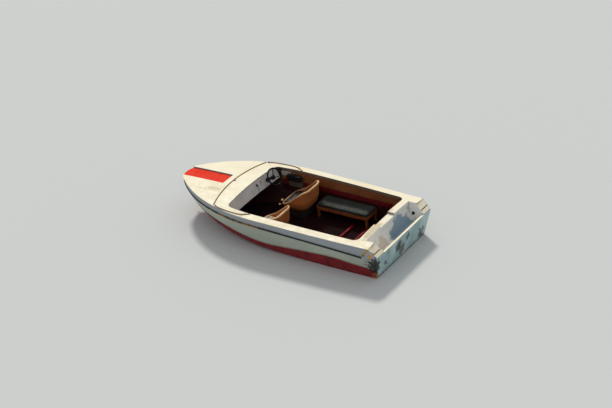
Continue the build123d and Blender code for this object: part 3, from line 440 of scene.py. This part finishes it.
def hull_finish(f):
    """Topsides painted grey-green as shade, over maroon bottom paint with a painted shadow line along its
    top; painted blue shade at the aft quarters and painted blue-green shade on the transom; dirty at the
    stern.
    """
    paint, rough, relief = gelcoat(f, HULL_SHADED_GREEN, HULL_GRIME, HULL_DARK, (), 0.4)
    ahead, blur, low = QUARTER
    # Painted shade: blue high on the hull's aft quarters
    paint = f.layer(paint, 0.8, f.both(f.past(f.z, low), f.past(f.x, ahead, -blur)), QUARTER_SHADE_BLUE)
    transom = transom_mask(f)
    # Painted shade: the transom in blue-green, with real drip stains over it
    transom_shade = f.blend(f.cloud("transom_shade"), linear(*TRANSOM_SHADE_TEAL), linear(*TRANSOM_SHADE_DARK))
    transom_shade = f.layer(transom_shade, 0.65, f.both(f.cloud("drips"), f.between(f.z, *DRIP_HEIGHTS)), TEAL_DRIPS)
    paint = f.blend(transom, paint, f.stained(transom_shade, TRANSOM_STAINS))
    sides = f.math("SUBTRACT", 1.0, transom)
    over = over_paint_line(f)
    start, end = EDGE_SHADOW_BAND
    # Painted shadow: a dark line just over the bottom paint
    paint = f.layer(paint, 0.75, f.both(f.between(over, *start), f.under(over, *end), sides), EDGE_SHADOW_BROWN)
    red = f.blend(f.cloud("bottom paint"), linear(*BOTTOM_RED), linear(*BOTTOM_DARK))
    red = f.layer(red, 0.5, f.cloud("bottom chalk"), BOTTOM_CHALK)
    red = f.layer(red, 0.7, f.both(f.under(f.z, *SLIME_HEIGHTS), f.cloud("slime")), SLIME)
    paint = f.blend(f.both(f.under(over, -SEAM, SEAM), sides), paint, red)
    foul = f.math("ADD", f.z, f.math("MULTIPLY", f.noise(*FOUL_NOISE), FOUL_WOBBLE))
    paint = f.layer(paint, 0.8, f.both(transom, f.under(foul, *FOUL_HEIGHTS)), FOULING)
    paint = f.stained(paint, QUARTER_STAINS)
    inside = f.between(f.math("MULTIPLY", f.y, f.facing[1]), *INSIDE)
    paint = f.layer(paint, 0.95, inside, HULL_INSIDE)
    paint = f.layer(paint, 0.5, f.both(f.cloud("scuffs"), f.cloud("scuffed places")), HULL_SCUFFS)
    return f.wear(paint, rough, relief)


def rubber_finish(f):
    """Weathered black rubber with worn gold patches toward the bow."""
    paint = f.layer(linear(*RUBBER), 0.5, f.cloud("worn rubber"), RUBBER_WORN)
    gold = f.both(f.between(f.x, *GOLD_AFT), f.between(f.x, *GOLD_FORE), f.cloud("gold patches"))
    paint = f.layer(paint, 0.85, gold, RUBBER_GOLD)
    return f.wear(paint, f.gloss("rubber gloss", 0.5), f.relief("rubber"))


def striped_finish(f):
    """Faded red-orange paint with a painted shadow along its starboard edge."""
    paint, rough, relief = gelcoat(f, STRIPE, STRIPE_FADED, STRIPE_DARK, (), 0.6, 0.55)
    return f.wear(f.layer(paint, 0.85, f.under(f.y, *STRIPE_EDGE), STRIPE_SHADOW), rough, relief)


def vinyl(f, colour, dark, pale, roughness=0.45, blotch=0.0):
    """Leathercloth with a fine grain, worn paler on its high places, with grime and painted shade in its
    folds.
    """
    paint = f.layer(linear(*colour), 0.6, f.cloud("faded vinyl"), dark)
    paint = f.layer(paint, 0.4, f.cloud("rubbed vinyl"), pale)
    # Grime and painted shade in the folds
    paint = f.layer(paint, 0.7, f.crevice(0.04), dark)
    if blotch:
        paint = f.layer(paint, blotch, f.cloud("blotches"), BLOTCHES)
    scale, depth, strength = GRAIN
    grain = f.bump(f.cells(scale, "DISTANCE_TO_EDGE"), depth, strength)
    return paint, f.gloss("vinyl gloss", roughness), f.relief("folds", grain)


def vinyl_finish(f, *colours, **settings):
    """Plain leathercloth."""
    return f.wear(*vinyl(f, *colours, **settings))


def tan_lining(f):
    """Tan leathercloth on the upper lining, with a red band at its foot and grey at its forward end."""
    paint, rough, relief = vinyl(f, *TAN_COLOURS)
    red = f.blend(f.cloud("red band"), linear(*BAND_RED), linear(*BAND_DARK))
    paint = f.blend(f.past(f.z, BAND_TOP, -SEAM), paint, red)
    end = f.both(f.past(f.x, GREY_END[0], SEAM), f.past(f.z, GREY_END[1], SEAM))
    return f.wear(f.layer(paint, 0.95, end, END_GREY), rough, relief)


def shell_finish(f):
    """Orange-tan covered seat tub, with painted shade low down."""
    paint, rough, relief = vinyl(f, *SHELL_COLOURS)
    return f.wear(f.layer(paint, 0.5, f.between(f.z, *SHELL_FOOT), SHELL_SHADE_LOW), rough, relief)


def dash_finish(f):
    """Pale grey leathercloth over the dash, with a bluish run under its knob."""
    paint, rough, relief = vinyl(f, *DASH_COLOURS, roughness=0.55)
    aside = f.math("ABSOLUTE", f.math("SUBTRACT", f.y, RUN_MIDDLE))
    run = f.both(f.between(aside, *RUN_HALF), f.between(f.z, *RUN_TOP), f.cloud("run"))
    return f.wear(f.layer(paint, 0.7, run, DASH_BLUE), rough, relief)


def carpet_finish(f):
    """Worn maroon carpet, trodden dark and paler in patches, with painted shade and grime in its corners."""
    paint = f.blend(f.cloud("pile"), linear(*CARPET), linear(*CARPET_DEEP))
    paint = f.layer(paint, 0.75, f.cloud("trodden"), CARPET_TRODDEN)
    paint = f.layer(paint, 0.3, f.cloud("pale patches"), CARPET_PALE)
    # Painted shade and grime in the corners
    paint = f.layer(paint, 0.8, f.crevice(0.09), CARPET_CORNER)
    return f.wear(paint, 0.95, f.relief("trodden carpet", f.relief("tufts")))


def wood_finish(f, colour, grain, dirt_and_shade, roughness=0.5):
    """Timber with a grain along the boat, dirty in patches, with grime and painted shade in its corners."""
    rings = f.noise(*RINGS)
    paint = f.layer(linear(*colour), 0.8, f.between(rings, *RING_CUT), grain)
    paint = f.layer(paint, 0.6, f.cloud("dirty wood"), dirt_and_shade)
    # Grime and painted shade in the corners
    paint = f.layer(paint, 0.6, f.crevice(0.04), dirt_and_shade)
    low, high, less, more = RING_GLOSS
    rough = f.between(rings, low, high, roughness - less, roughness + more)
    return f.wear(paint, rough, f.bump(rings, *RING_RELIEF))


def painted_finish(f, colour, worn, dirt_and_shade, roughness=0.5):
    """Hard satin surface with scratches, and grime and painted shade in its corners."""
    paint = f.layer(linear(*colour), 0.55, f.cloud("worn paint"), worn)
    # Grime and painted shade in the corners
    paint = f.layer(paint, 0.6, f.crevice(0.03), dirt_and_shade)
    paint = f.layer(paint, 0.35, f.cloud("scratches"), worn)
    return f.wear(paint, f.gloss("paint gloss", roughness), f.relief("paint"))


def metal_finish(f, colour, tarnish, roughness=0.3):
    """Worn metal with tarnish in its corners."""
    paint = f.layer(linear(*colour), 0.8, f.cloud("tarnish"), tarnish)
    paint = f.layer(paint, 0.8, f.crevice(0.02), tarnish)
    return f.wear(paint, f.gloss("metal gloss", roughness), f.relief("metal"))


def plain(painter, *colours, **settings):
    """A finish of one kind in its own colours."""
    return lambda f: painter(f, *colours, **settings)


# Each slot's finish: the shader's own settings, and the function that paints it. The colours are
# the main one, the darker or worn one, and the grime and painted shade, or for leathercloth the paler one.
SLOTS = {
    "hull_gelcoat": (dict(specular=0.3), hull_finish),
    "deck_gelcoat": (dict(specular=0.15), deck_finish),
    "stripe_red": (dict(specular=0.04), striped_finish),
    "bottom_paint": ({}, plain(painted_finish, (110, 20, 26), (150, 70, 62), (40, 30, 22), roughness=0.7)),
    "core_wood": ({}, plain(wood_finish, (150, 112, 70), (104, 72, 42), (60, 44, 30))),
    "black_rubber": ({}, rubber_finish),
    "gold_trim": (dict(metallic=0.85), plain(metal_finish, (206, 150, 50), (88, 60, 28))),
    "brown_trim": ({}, plain(painted_finish, (122, 88, 42), (164, 132, 78), (50, 36, 20))),
    "black_fitting": ({}, plain(painted_finish, (20, 20, 22), (66, 64, 62), (8, 8, 8), roughness=0.42)),
    "seam_trim": ({}, plain(painted_finish, (196, 184, 150), (150, 132, 96), (96, 80, 56))),
    "fitting_metal": (dict(metallic=1.0),
                      plain(metal_finish, (196, 196, 198), (110, 104, 96), roughness=0.22)),
    "plug_brass": (dict(metallic=1.0), plain(metal_finish, (190, 150, 80), (84, 84, 56))),
    "pad_wood": ({}, plain(wood_finish, (96, 74, 54), (58, 44, 34), (30, 26, 22))),
    "dash_grey": (dict(specular=0.25), dash_finish),
    "control_grey": ({}, plain(painted_finish, (98, 88, 72), (128, 118, 100), (46, 40, 32), roughness=0.55)),
    "wheel_black": (dict(specular=0.15),
                    plain(painted_finish, (8, 8, 9), (30, 29, 28), (4, 4, 4), roughness=0.36)),
    "carpet_maroon": (dict(specular=0.1), carpet_finish),
    "rail_red": (dict(specular=0.08),
                 plain(wood_finish, (138, 20, 26), (92, 12, 18), (46, 14, 14), roughness=0.65)),
    "tan_vinyl": ({}, tan_lining),
    "maroon_vinyl": ({}, plain(vinyl_finish, (62, 8, 14), (24, 5, 8), (92, 18, 24))),
    "tan_shell": ({}, shell_finish),
    "cream_bead": ({}, plain(vinyl_finish, (222, 176, 118), (170, 116, 66), (244, 214, 168), roughness=0.4)),
    "dark_vinyl": (dict(specular=0.12),
                   plain(vinyl_finish, (44, 41, 40), (18, 17, 17), (84, 78, 74), roughness=0.42)),
    "cream_vinyl": ({}, plain(vinyl_finish, (200, 170, 130), (132, 98, 64), (222, 198, 160),
                              roughness=0.5, blotch=0.9)),
    "orange_wood": ({}, plain(wood_finish, (158, 84, 44), (104, 50, 26), (56, 28, 18), roughness=0.38)),
    "grey_vinyl": (dict(specular=0.08),
                   plain(vinyl_finish, (62, 66, 60), (38, 40, 36), (82, 84, 76), roughness=0.6)),
    "blue_vinyl": ({}, plain(vinyl_finish, (136, 150, 172), (92, 104, 126), (176, 186, 200), roughness=0.45)),
}
DARK_WOOD = plain(wood_finish, (40, 28, 22), (22, 15, 12), (12, 9, 8), roughness=0.7)
NODE_FINISHES = {
    "splash_well": well_finish,
    "helm_seat_plinth": DARK_WOOD,
    "passenger_seat_plinth": DARK_WOOD,
}


def dress_nodes():
    """Give every CAD node the finish of its slot, or its own."""
    made = {}
    for row in frame["record"]["subparts"]:
        node, slot = row["node"], row["material_slot"]
        own = NODE_FINISHES.get(node)
        key = node if own else slot
        if key not in made:
            settings, usual = SLOTS[slot]
            made[key] = (own or usual)(Finish(key, **settings))
        data = nodes[node].data
        data.materials.clear()
        data.materials.append(made[key])
        for polygon in data.polygons:
            polygon.material_index = 0
    return made


def added(name, data):
    """A new object in the scene."""
    piece = bpy.data.objects.new(name, data)
    bpy.context.scene.collection.objects.link(piece)
    return piece


def camera():
    """The photograph's own view."""
    azimuth, elevation, roll = (math.radians(a) for a in (CAMERA_AZIMUTH, CAMERA_ELEVATION, CAMERA_ROLL))
    back = Vector((math.sin(azimuth) * math.cos(elevation), -math.cos(azimuth) * math.cos(elevation),
                   math.sin(elevation)))
    right = (-back).cross(Vector((0, 0, 1))).normalized()
    up = right.cross(-back)
    turned = right * math.cos(roll) + up * math.sin(roll)
    raised = up * math.cos(roll) - right * math.sin(roll)
    data = bpy.data.cameras.new("camera")
    data.sensor_width = SENSOR
    data.lens = FOCAL_PIXELS / IMAGE_WIDTH * SENSOR
    data.clip_end = 4 * CAMERA_DISTANCE
    made = added("camera", data)
    axes = Matrix((turned, raised, back)).transposed().to_4x4()
    made.matrix_world = Matrix.Translation(CAMERA_TARGET + back * CAMERA_DISTANCE) @ axes
    bpy.context.scene.camera = made


def studio():
    """Pale floor at the waterline, a soft key light and an even sky."""
    data = bpy.data.meshes.new("floor")
    corners = [(x * FLOOR_REACH, y * FLOOR_REACH, 0) for x, y in ((-1, -1), (1, -1), (1, 1), (-1, 1))]
    data.from_pydata(corners, [], [(0, 1, 2, 3)])
    data.materials.append(Finish("floor", 0.9).wear(linear(*FLOOR_COLOUR)))
    floor = added("floor", data)
    world = bpy.data.worlds.new("sky")
    world.use_nodes = True
    bpy.context.scene.world = world
    sky = world.node_tree.nodes["Background"]
    sky.inputs["Color"].default_value = linear(*SKY_COLOUR)
    sky.inputs["Strength"].default_value = SKY_LEVEL
    light = bpy.data.lights.new("key", "SUN")
    light.energy = KEY_STRENGTH
    light.angle = math.radians(KEY_ANGLE)
    light.color = KEY_COLOUR
    added("key", light).rotation_euler = KEY_FROM.to_track_quat("Z", "Y").to_euler()
    bpy.context.scene.view_settings.view_transform = "Standard"


# Cushions and pads. Lengths are in metres.
PRESSURE = 4.0
SWELL_FRAMES = 20
TUCK = (0.006, 3)               # how far the sides pull in, and how sharply that starts
QUILT = 0.072                   # between sewn lines
SEWN = (0.006, 0.005, 0.003)    # width and depth of a sewn line, and the crown between two
SEWN_FACE = (0.35, 0.4)         # how much a place faces out where sewing starts, and over which it grows
RUMPLE = (0.09, 0.003)          # size and height of the unevenness
CROWN_ROOM = 0.010              # how far a seat may crown over its CAD solid
PIPING = (0.004, 0.014)         # radius, and how far under the face it lies
# Name, CAD node, slot, smaller by, voxel, farthest move, fill, and how the pad is sewn
SOFT = [
    ("helm_seat_squab", "helm_seat_cushion", "dark_vinyl", 0.010, 0.008, 0.016, 0.7, "quilt"),
    ("passenger_seat_squab", "passenger_seat_cushion", "cream_vinyl", 0.010, 0.008, 0.016, 0.6, "quilt"),
    ("helm_seat_back", "helm_seat_back_pad", "dark_vinyl", 0.007, 0.007, 0.010, 0.7, "channels"),
    ("passenger_seat_back", "passenger_seat_back_pad", "cream_vinyl", 0.007, 0.007, 0.010, 0.7, "channels"),
    ("bench_pad", "bench_cushion", "grey_vinyl", 0.006, 0.009, 0.010, 0.85, "plain"),
    ("stern_pad", "stern_backrest", "blue_vinyl", 0.008, 0.008, 0.014, 0.8, "channels"),
]

# Trim
DOWN = Vector((0, 0, -1))
CLEAR = 0.1                     # how far over a node the rays onto it start
RIM_REACH = (0.55, 0.7)         # where the rays across a rim start, in half sizes, and how far they go on
ROLL = (0.0125, 0.009)          # radius, and how far its middle is under the CAD bead's top
ROLL_SWELL = (0.8, 0.75, 0.12)  # share of its radius low down, what the top adds, and over what height
KNOB_SHAPE = (0.85, 0.05, 1.5)  # height for its width, and height and size of its unevenness
KNOB_STEM = (0.006, 0.030)      # radius, and how far under its knob it aims at the shell
KNOBS = [                       # name, place, radius
    ("helm_seat_knob_upper", (0.378, -0.286, 0.322), 0.024),
    ("helm_seat_knob_lower", (0.374, -0.196, 0.290), 0.019),
]
BEAD = (0.010, 0.003, 0.985)    # radius, how deep it sits in the trim, and its share of the trim's width
RAIL = (0.010, 0.4)             # radius, and the share of it that lies over the deck
SIDE_RAIL = [                   # place along and across, on the deck
    (0.955, 0.820), (0.86, 0.848), (0.76, 0.862), (0.66, 0.872), (0.56, 0.878), (0.475, 0.878), (0.41, 0.868),
    (0.36, 0.848), (0.315, 0.822), (0.272, 0.798), (0.225, 0.786), (0.16, 0.783), (0.08, 0.784), (0.0, 0.785),
]


def values_of(data, name):
    """Each point's place or normal, as an array."""
    flat = np.empty(3 * len(data.vertices), np.float32)
    data.vertices.foreach_get(name, flat)
    return flat.reshape(-1, 3).astype(float)


def put_places(data, places):
    """Move a mesh's points."""
    data.vertices.foreach_set("co", places.astype(np.float32).ravel())
    data.update()


def smooth_faced(data):
    """Shade a mesh smoothly."""
    for polygon in data.polygons:
        polygon.use_smooth = True


def surface_of(data):
    """A mesh as a tree that rays can be cast at."""
    return BVHTree.FromPolygons([v.co for v in data.vertices], [p.vertices for p in data.polygons])


def settled(piece):
    """Make the modifiers' result the piece's own mesh."""
    shown = piece.evaluated_get(bpy.context.evaluated_depsgraph_get())
    data = bpy.data.meshes.new_from_object(shown)
    piece.modifiers.clear()
    piece.data = data


def boarded(piece, slot, *replaced):
    """Paint a finished piece, fix it to the boat and hide the CAD parts it replaces."""
    piece.data.materials.clear()
    piece.data.materials.append(finishes[slot])
    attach(piece, BOAT)
    if replaced:
        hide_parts(*replaced)


def swollen(name, node, less, voxel, farthest):
    """A pad puffed up as cloth, from a smaller copy of its CAD solid."""
    low, high = (np.array(corner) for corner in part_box(node))
    middle = (low + high) / 2
    piece = added(name, nodes[node].data.copy())
    places = values_of(piece.data, "co")
    put_places(piece.data, middle + (places - middle) * (1 - 2 * less / (high - low)))
    remesh = piece.modifiers.new("voxels", "REMESH")
    remesh.mode = "VOXEL"
    remesh.voxel_size = voxel
    settled(piece)
    start = values_of(piece.data, "co")
    cloth = piece.modifiers.new("cloth", "CLOTH")
    cloth.settings.use_pressure = True
    cloth.settings.uniform_pressure_force = PRESSURE
    cloth.settings.effector_weights.gravity = 0
    for moment in range(1, SWELL_FRAMES + 1):
        bpy.context.scene.frame_set(moment)
    settled(piece)
    move = values_of(piece.data, "co") - start
    far = np.linalg.norm(move, axis=1, keepdims=True)
    put_places(piece.data, start + move * np.minimum(1, farthest / np.maximum(far, 1e-9)))
    bpy.context.scene.frame_set(1)
    smooth = piece.modifiers.new("smooth", "SUBSURF")
    smooth.levels = smooth.render_levels = 1
    settled(piece)
    smooth_faced(piece.data)
    return piece, low, high


def tucked(places, low, high, across):
    """Sides pulled in midway between the corners."""
    pull, power = TUCK
    middle, half = (low + high) / 2, (high - low) / 2
    share = (places - middle) / half
    moved = places.copy()
    for axis, other in (across, across[::-1]):
        edge = np.sign(share[:, axis]) * np.abs(share[:, axis]) ** power
        moved[:, axis] -= pull * (edge * (1 - np.clip(share[:, other] ** 2, 0, 1)))
    return moved


def from_line(values, start):
    """How far each value is from the nearest sewn line."""
    share = (values - start) / QUILT
    return np.abs(share - np.round(share)) * QUILT


def sewn(places, normals, low, high, manner):
    """Press the sewn lines into a pad's face."""
    middle = (low + high) / 2
    face = 2 if manner == "quilt" else 0
    starts, grows = SEWN_FACE
    shown = np.clip((normals[:, face] - starts) / grows, 0, 1)
    width, depth, crown = SEWN
    gap = from_line(places[:, 1], middle[1])
    if manner == "quilt":
        gap = np.minimum(gap, from_line(places[:, 0], middle[0]))
    swell = crown * np.sin(np.clip(gap / (QUILT / 2), 0, 1) * math.pi / 2)
    moved = places.copy()
    moved[:, face] += (swell - depth * np.exp(-(gap / width) ** 2)) * shown
    return moved


def rumpled(places, normals):
    """Soft unevenness over a pad."""
    size, amount = RUMPLE
    heights = np.array([noise.noise(Vector(place) / size) for place in places])
    return places + normals * (amount * heights)[:, None]


def edge_line(piece, axis, level, count=200, reach=2.0):
    """Points round a pad's edge, in a level across one axis."""
    tree, places = surface_of(piece.data), values_of(piece.data, "co")
    low, high = Vector(np.min(places, 0)), Vector(np.max(places, 0))
    one, two = (other for other in range(3) if other != axis)
    middle, half = (low + high) / 2, (high - low) / 2
    middle[axis] = level
    found = []
    for step in range(count):
        turn = 2 * math.pi * step / count
        way = Vector()
        way[one], way[two] = half[one] * math.cos(turn), half[two] * math.sin(turn)
        hit = tree.ray_cast(middle + way * reach, -way)[0]
        if hit:
            found.append(hit)
    return found


def smoothed(points, passes=2):
    """A closed line of points, evened out."""
    for _ in range(passes):
        before, after = points[-1:] + points[:-1], points[1:] + points[:1]
        points = [(one + two * 2 + three) / 4 for one, two, three in zip(before, points, after)]
    return points


def tube(name, points, radius, closed=True, swell=None):
    """A round trim along a line of points, thicker where a function of the place says so."""
    curve = bpy.data.curves.new(name, "CURVE")
    curve.dimensions = "3D"
    curve.bevel_depth = radius
    curve.bevel_resolution = 3
    curve.use_fill_caps = not closed
    line = curve.splines.new("POLY")
    line.points.add(len(points) - 1)
    for spot, place in zip(line.points, points):
        spot.co = (*place, 1)
        spot.radius = swell(place) if swell else 1
    line.use_cyclic_u = closed
    line.use_smooth = True
    return added(name, curve)


def soft_pieces():
    """Cushions and pads, swollen and sewn, with piping along their edges."""
    radius, under = PIPING
    for name, node, slot, less, voxel, farthest, fill, manner in SOFT:
        piece, low, high = swollen(name, node, less, voxel, farthest)
        upright = node.endswith("back_pad") or node == "stern_backrest"
        across, face = ((1, 2), 0) if upright else ((0, 1), 2)
        places = tucked(values_of(piece.data, "co"), low, high, across)
        normals = values_of(piece.data, "normal")
        if manner != "plain":
            places = sewn(places, normals, low, high, manner)
        places = rumpled(places, normals)
        ceiling = high + np.array((0, 0, 0 if upright else CROWN_ROOM))
        put_places(piece.data, np.clip(places, low, ceiling))
        boarded(piece, slot, node)
        edge = smoothed(edge_line(piece, face, high[face] - under))
        boarded(tube(name + "_piping", edge, radius), slot)


def middle_under(tree, starts):
    """The middle of where the lines down from some places meet a surface, or None."""
    hits = [hit for hit in (tree.ray_cast(start, DOWN)[0] for start in starts) if hit]
    return sum(hits, Vector()) / len(hits) if hits else None


def rim_line(node, count=150, rays=70):
    """The middle of a seat's rolled edge, all round."""
    tree = surface_of(nodes[node].data)
    low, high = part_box(node)
    middle, half = (low + high) / 2, (high - low) / 2
    near, on = RIM_REACH
    reaches = [near + on * ray / rays for ray in range(rays)]
    found = []
    for step in range(count):
        turn = 2 * math.pi * step / count
        found.append(middle_under(tree, [
            Vector((middle.x + half.x * out * math.cos(turn), middle.y + half.y * out * math.sin(turn),
                    high.z + CLEAR)) for out in reaches]))
    return [place for place in found if place]


def knob(name, centre, radius):
    """A ball knob, a little uneven."""
    tall, lumps, size = KNOB_SHAPE
    data = bpy.data.meshes.new(name)
    shape = bmesh.new()
    bmesh.ops.create_icosphere(shape, subdivisions=4, radius=radius)
    for vertex in shape.verts:
        vertex.co.z *= tall
        vertex.co *= 1 + lumps * noise.noise(vertex.co / radius * size)
        vertex.co += Vector(centre)
    shape.to_mesh(data)
    shape.free()
    smooth_faced(data)
    return added(name, data)


def rolled_edges():
    """Rolled vinyl along the top of each tub seat, thickest round its back."""
    radius, under = ROLL
    share, more, over = ROLL_SWELL
    for side in ("helm", "passenger"):
        node = side + "_seat_bead"
        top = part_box(node)[1].z
        line = [point - Vector((0, 0, under)) for point in smoothed(rim_line(node), 3)]
        roll = tube(side + "_seat_roll", line, radius,
                    swell=lambda place: share + more * max(0, 1 - (top - place.z) / over))
        boarded(roll, "cream_bead", node)


def seat_knobs():
    """Two ball knobs on short stems at the front of the helm seat."""
    shell = surface_of(nodes["helm_seat_shell"].data)
    radius, drop = KNOB_STEM
    for name, place, size in KNOBS:
        boarded(knob(name, place, size), "cream_bead")
        foot = shell.find_nearest(Vector(place) - Vector((0, 0, drop)))[0]
        bend = (Vector(place) + foot) / 2 + Vector((radius, radius, -radius))
        boarded(tube(name + "_stem", [Vector(place), bend, foot], radius, closed=False), "black_fitting")


def side_rails():
    """Thin strips that finish the windscreen's foot along the side decks."""
    deck = surface_of(nodes["deck_moulding"].data)
    radius, rise = RAIL
    for side, way in (("port", 1), ("starboard", -1)):
        hits = [deck.ray_cast(Vector((x, way * y, 1)), DOWN)[0] for x, y in SIDE_RAIL]
        line = [hit + Vector((0, 0, radius * rise)) for hit in hits if hit]
        boarded(tube("side_rail_" + side, line, radius, closed=False), "brown_trim")


def screen_bead(count=61, rays=80):
    """A rounded bead along the windscreen's foot, over its flat trim."""
    trim = surface_of(nodes["windscreen_trim"].data)
    low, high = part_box("windscreen_trim")
    radius, sunk, part = BEAD
    along = [low.x + (high.x - low.x) * ray / (rays - 1) for ray in range(rays)]
    found = []
    for step in range(count):
        y = low.y * part + (high.y - low.y) * part * step / (count - 1)
        found.append(middle_under(trim, [Vector((x, y, high.z + CLEAR)) for x in along]))
    line = [place - Vector((0, 0, sunk)) for place in found if place]
    boarded(tube("windscreen_bead", line, radius, closed=False), "brown_trim")


camera()
studio()
finishes = dress_nodes()
soft_pieces()
rolled_edges()
seat_knobs()
side_rails()
screen_bead()
